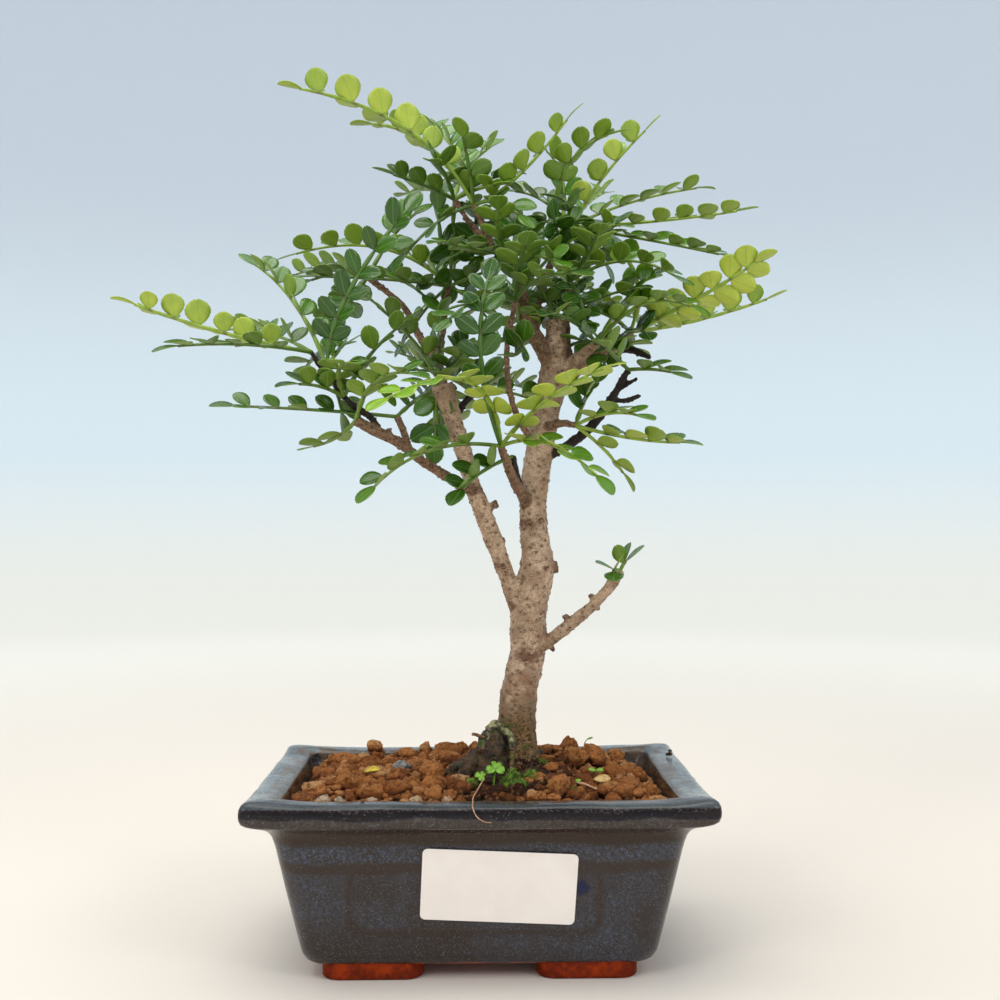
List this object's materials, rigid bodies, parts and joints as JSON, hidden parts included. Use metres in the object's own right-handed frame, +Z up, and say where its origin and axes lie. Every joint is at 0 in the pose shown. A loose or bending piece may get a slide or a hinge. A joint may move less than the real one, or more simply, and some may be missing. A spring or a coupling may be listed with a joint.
{
  "type": "chinese pepper bonsai in a pot",
  "caption": "Potted chinese pepper bonsai: forked trunk, open canopy of pinnate leaves with round leaflets, clay granules, rectangular blue-glazed pot on feet.",
  "frame": {"origin": "middle of the whole object's box, at the level of the pot's feet", "axes": "+Z up along the trunk, front of the pot with its sticker towards -Y, long side of the pot along X"},
  "size_m": [0.2312, 0.154, 0.304],
  "materials": {
    "glaze": "dark slate-blue glaze with pale speckles, bare orange clay feet",
    "mesh": "matt black plastic mesh",
    "granules": "dry red-brown clay granules",
    "bark": "light grey-tan bark with brown lenticels",
    "leaf": "glossy dark green leaflets, paler yellow-green below",
    "paper": "blank white satin paper sticker",
    "stone": "rough grey stone",
    "weed": "soft light green",
    "yellow_leaf": "dry yellow leaflet"
  },
  "bodies": {
    "root": {"clover_seedling": "weed", "drain_mesh_left": "mesh", "drain_mesh_right": "mesh", "fallen_leaflet_left": "yellow_leaf", "fallen_leaflet_right": "yellow_leaf", "grey_stone": "stone", "pot": "glaze", "soil": "granules", "spray_arm_tip": "leaf", "spray_back_high": "leaf", "spray_black_tip": "leaf", "spray_centre": "leaf", "spray_centre_front": "leaf", "spray_crown": "leaf", "spray_crown_back": "leaf", "spray_front": "leaf", "spray_front_short": "leaf", "spray_front_thin": "leaf", "spray_left_back": "leaf", "spray_left_high": "leaf", "spray_left_low": "leaf", "spray_left_peg": "leaf", "spray_left_rise": "leaf", "spray_left_side": "leaf", "spray_left_stem_top": "leaf", "spray_left_tip": "leaf", "spray_right_crown": "leaf", "spray_right_dark": "leaf", "spray_right_high": "leaf", "spray_right_low": "leaf", "spray_right_mid": "leaf", "spray_right_top": "leaf", "spray_right_twig": "leaf", "sticker": "paper", "tree": "bark"}
  },
  "joints": []
}
